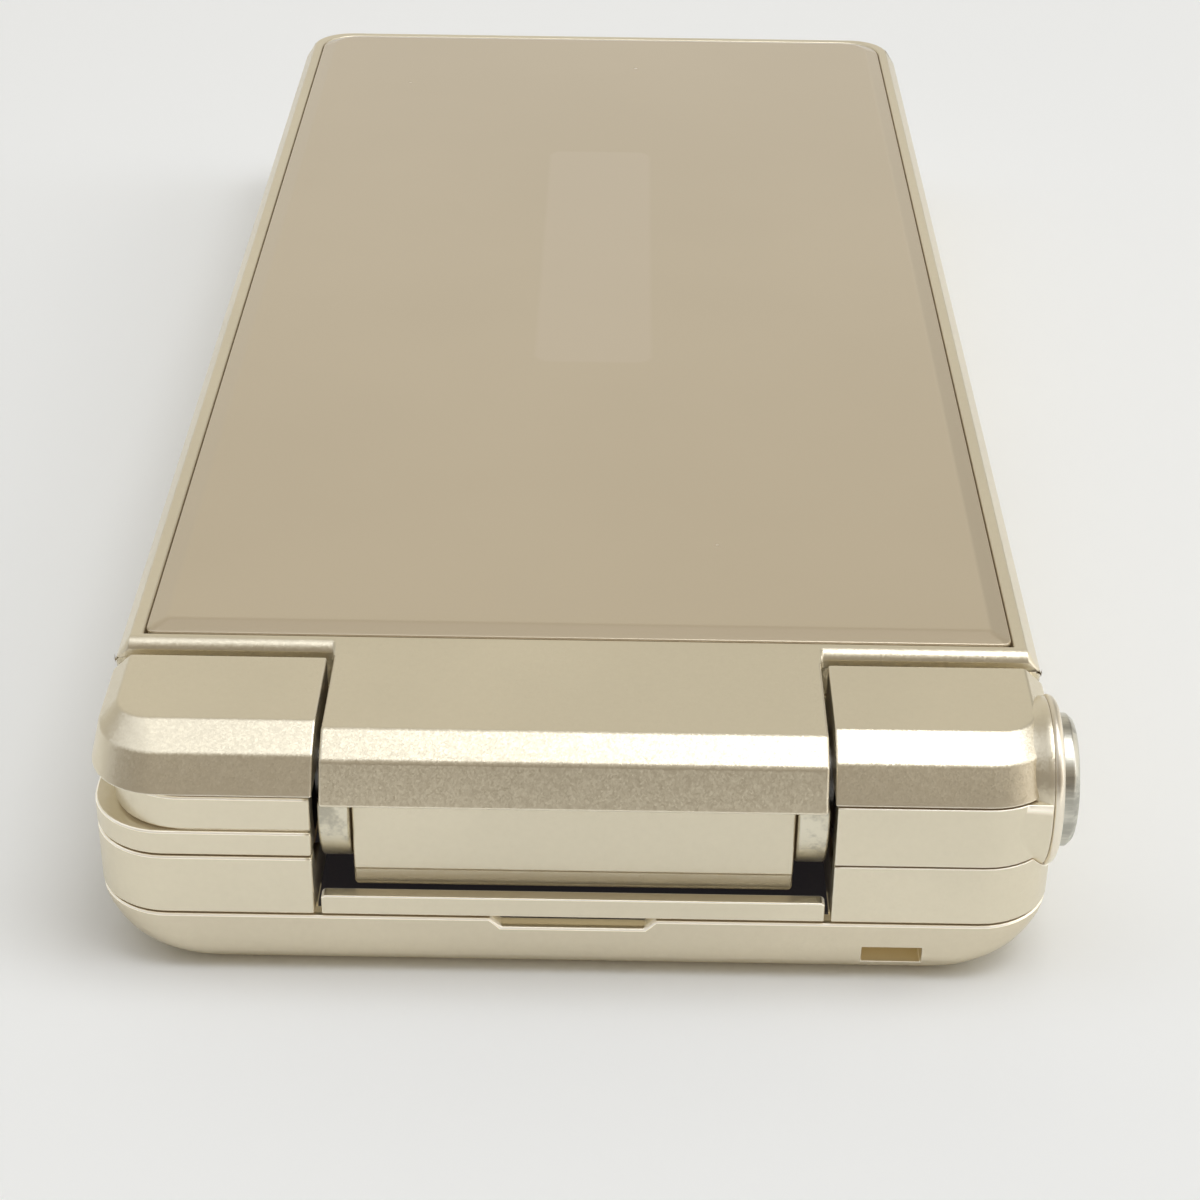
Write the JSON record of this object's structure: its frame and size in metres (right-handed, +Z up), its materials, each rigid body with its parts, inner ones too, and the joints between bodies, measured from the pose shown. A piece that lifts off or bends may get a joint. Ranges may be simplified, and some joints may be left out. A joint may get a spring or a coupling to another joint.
{
  "type": "flip phone",
  "caption": "Clamshell phone with a one-push hinge button, bevelled gloss lid panel, faceted hinge knuckles and a lift-off battery cover.",
  "frame": {"origin": "centre of the underside, which it rests on", "axes": "+Z up, +Y from the hinge end towards the free end, +X towards the push button's side"},
  "size_m": [0.0519, 0.1123, 0.0144],
  "materials": {
    "champagne_paint": "metallic champagne paint on moulded plastic",
    "button_collar": "bright champagne plating",
    "button_face": "worn silver plating",
    "panel_gloss": "taupe gloss, window tinted over the small display",
    "barrel_metal": "worn silver",
    "steel": "plain steel",
    "bush_plastic": "black acetal",
    "board_green": "green solder mask",
    "dome_sheet": "clear film with steel domes",
    "battery_wrap": "wrapped aluminium can",
    "camera_black": "black",
    "lens_glass": "tinted clear cover",
    "display_glass": "smoked gloss",
    "display_module": "dark glass in a thin frame",
    "bumper_rubber": "soft grey",
    "key_cap": "pale champagne key caps"
  },
  "bodies": {
    "base": {"base_rear_case": "champagne_paint", "base_front_case": "champagne_paint", "knuckle_cap_left": "champagne_paint", "knuckle_cap_right": "champagne_paint", "hinge_bar": "champagne_paint", "button_ring": "button_collar", "main_circuit_board": "board_green", "key_dome_sheet": "dome_sheet", "battery": "battery_wrap", "battery_connector": "bush_plastic", "camera_module": "camera_black", "loudspeaker": "camera_black", "vibration_motor": "steel", "antenna": "bush_plastic", "charging_connector": "steel", "sim_card_socket": "steel", "base_screws": "steel", "hinge_housing": "steel", "hinge_cam": "steel", "hinge_spring": "steel", "hinge_bush_left": "bush_plastic"},
    "lid": {"lid_outer_case": "champagne_paint", "lid_inner_case": "champagne_paint", "lid_panel": "panel_gloss", "sub_display": "display_module", "lid_circuit_board": "board_green", "main_display": "display_module", "main_display_window": "display_glass", "earpiece_speaker": "camera_black", "lid_screws": "steel", "lid_bumpers": "bumper_rubber", "hinge_barrels": "barrel_metal", "hinge_shaft": "steel", "hinge_pin_left": "steel"},
    "battery_cover": {"battery_cover": "champagne_paint", "camera_window": "lens_glass"},
    "one_push_button": {"one_push_button": "button_face"},
    "port_cover": {"port_cover": "champagne_paint"},
    "side_key": {"side_key": "champagne_paint"},
    "key_1": {"key_1": "key_cap"},
    "key_2": {"key_2": "key_cap"},
    "key_3": {"key_3": "key_cap"},
    "key_4": {"key_4": "key_cap"},
    "key_5": {"key_5": "key_cap"},
    "key_6": {"key_6": "key_cap"},
    "key_7": {"key_7": "key_cap"},
    "key_8": {"key_8": "key_cap"},
    "key_9": {"key_9": "key_cap"},
    "key_star": {"key_star": "key_cap"},
    "key_0": {"key_0": "key_cap"},
    "key_hash": {"key_hash": "key_cap"},
    "key_call": {"key_call": "key_cap"},
    "key_clear": {"key_clear": "key_cap"},
    "key_end": {"key_end": "key_cap"},
    "key_soft_left_upper": {"key_soft_left_upper": "key_cap"},
    "key_soft_left_lower": {"key_soft_left_lower": "key_cap"},
    "key_soft_right_upper": {"key_soft_right_upper": "key_cap"},
    "key_soft_right_lower": {"key_soft_right_lower": "key_cap"},
    "key_navigation_ring": {"key_navigation_ring": "key_cap"},
    "key_select": {"key_select": "key_cap"}
  },
  "joints": [
    {"name": "lid_hinge", "type": "hinge", "parent": "base", "child": "lid", "pos_m": [0, -0.0511, 0.0099], "axis": [1, 0, 0], "range_deg": [0, 160]},
    {"name": "battery_cover_lift", "type": "slide", "parent": "base", "child": "battery_cover", "axis": [0, 0, -1], "range_m": [0, 0.012]},
    {"name": "one_push_button_press", "type": "slide", "parent": "base", "child": "one_push_button", "axis": [-1, 0, 0], "range_m": [0, 0.001], "stiffness_N_per_m": 1500},
    {"name": "port_cover_swing", "type": "hinge", "parent": "base", "child": "port_cover", "pos_m": [-0.02505, -0.0132, 0.00562], "axis": [0, 0, -1], "range_deg": [0, 100]},
    {"name": "side_key_press", "type": "slide", "parent": "base", "child": "side_key", "axis": [-1, 0, 0], "range_m": [0, 0.0003], "stiffness_N_per_m": 3000},
    {"name": "key_1_press", "type": "slide", "parent": "base", "child": "key_1", "axis": [0, 0, -1], "range_m": [0, 0.00025], "stiffness_N_per_m": 5000},
    {"name": "key_2_press", "type": "slide", "parent": "base", "child": "key_2", "axis": [0, 0, -1], "range_m": [0, 0.00025], "stiffness_N_per_m": 5000},
    {"name": "key_3_press", "type": "slide", "parent": "base", "child": "key_3", "axis": [0, 0, -1], "range_m": [0, 0.00025], "stiffness_N_per_m": 5000},
    {"name": "key_4_press", "type": "slide", "parent": "base", "child": "key_4", "axis": [0, 0, -1], "range_m": [0, 0.00025], "stiffness_N_per_m": 5000},
    {"name": "key_5_press", "type": "slide", "parent": "base", "child": "key_5", "axis": [0, 0, -1], "range_m": [0, 0.00025], "stiffness_N_per_m": 5000},
    {"name": "key_6_press", "type": "slide", "parent": "base", "child": "key_6", "axis": [0, 0, -1], "range_m": [0, 0.00025], "stiffness_N_per_m": 5000},
    {"name": "key_7_press", "type": "slide", "parent": "base", "child": "key_7", "axis": [0, 0, -1], "range_m": [0, 0.00025], "stiffness_N_per_m": 5000},
    {"name": "key_8_press", "type": "slide", "parent": "base", "child": "key_8", "axis": [0, 0, -1], "range_m": [0, 0.00025], "stiffness_N_per_m": 5000},
    {"name": "key_9_press", "type": "slide", "parent": "base", "child": "key_9", "axis": [0, 0, -1], "range_m": [0, 0.00025], "stiffness_N_per_m": 5000},
    {"name": "key_star_press", "type": "slide", "parent": "base", "child": "key_star", "axis": [0, 0, -1], "range_m": [0, 0.00025], "stiffness_N_per_m": 5000},
    {"name": "key_0_press", "type": "slide", "parent": "base", "child": "key_0", "axis": [0, 0, -1], "range_m": [0, 0.00025], "stiffness_N_per_m": 5000},
    {"name": "key_hash_press", "type": "slide", "parent": "base", "child": "key_hash", "axis": [0, 0, -1], "range_m": [0, 0.00025], "stiffness_N_per_m": 5000},
    {"name": "key_call_press", "type": "slide", "parent": "base", "child": "key_call", "axis": [0, 0, -1], "range_m": [0, 0.00025], "stiffness_N_per_m": 5000},
    {"name": "key_clear_press", "type": "slide", "parent": "base", "child": "key_clear", "axis": [0, 0, -1], "range_m": [0, 0.00025], "stiffness_N_per_m": 5000},
    {"name": "key_end_press", "type": "slide", "parent": "base", "child": "key_end", "axis": [0, 0, -1], "range_m": [0, 0.00025], "stiffness_N_per_m": 5000},
    {"name": "key_soft_left_upper_press", "type": "slide", "parent": "base", "child": "key_soft_left_upper", "axis": [0, 0, -1], "range_m": [0, 0.00025], "stiffness_N_per_m": 5000},
    {"name": "key_soft_left_lower_press", "type": "slide", "parent": "base", "child": "key_soft_left_lower", "axis": [0, 0, -1], "range_m": [0, 0.00025], "stiffness_N_per_m": 5000},
    {"name": "key_soft_right_upper_press", "type": "slide", "parent": "base", "child": "key_soft_right_upper", "axis": [0, 0, -1], "range_m": [0, 0.00025], "stiffness_N_per_m": 5000},
    {"name": "key_soft_right_lower_press", "type": "slide", "parent": "base", "child": "key_soft_right_lower", "axis": [0, 0, -1], "range_m": [0, 0.00025], "stiffness_N_per_m": 5000},
    {"name": "key_navigation_ring_press", "type": "slide", "parent": "base", "child": "key_navigation_ring", "axis": [0, 0, -1], "range_m": [0, 0.00025], "stiffness_N_per_m": 5000},
    {"name": "key_select_press", "type": "slide", "parent": "base", "child": "key_select", "axis": [0, 0, -1], "range_m": [0, 0.00025], "stiffness_N_per_m": 5000}
  ]
}
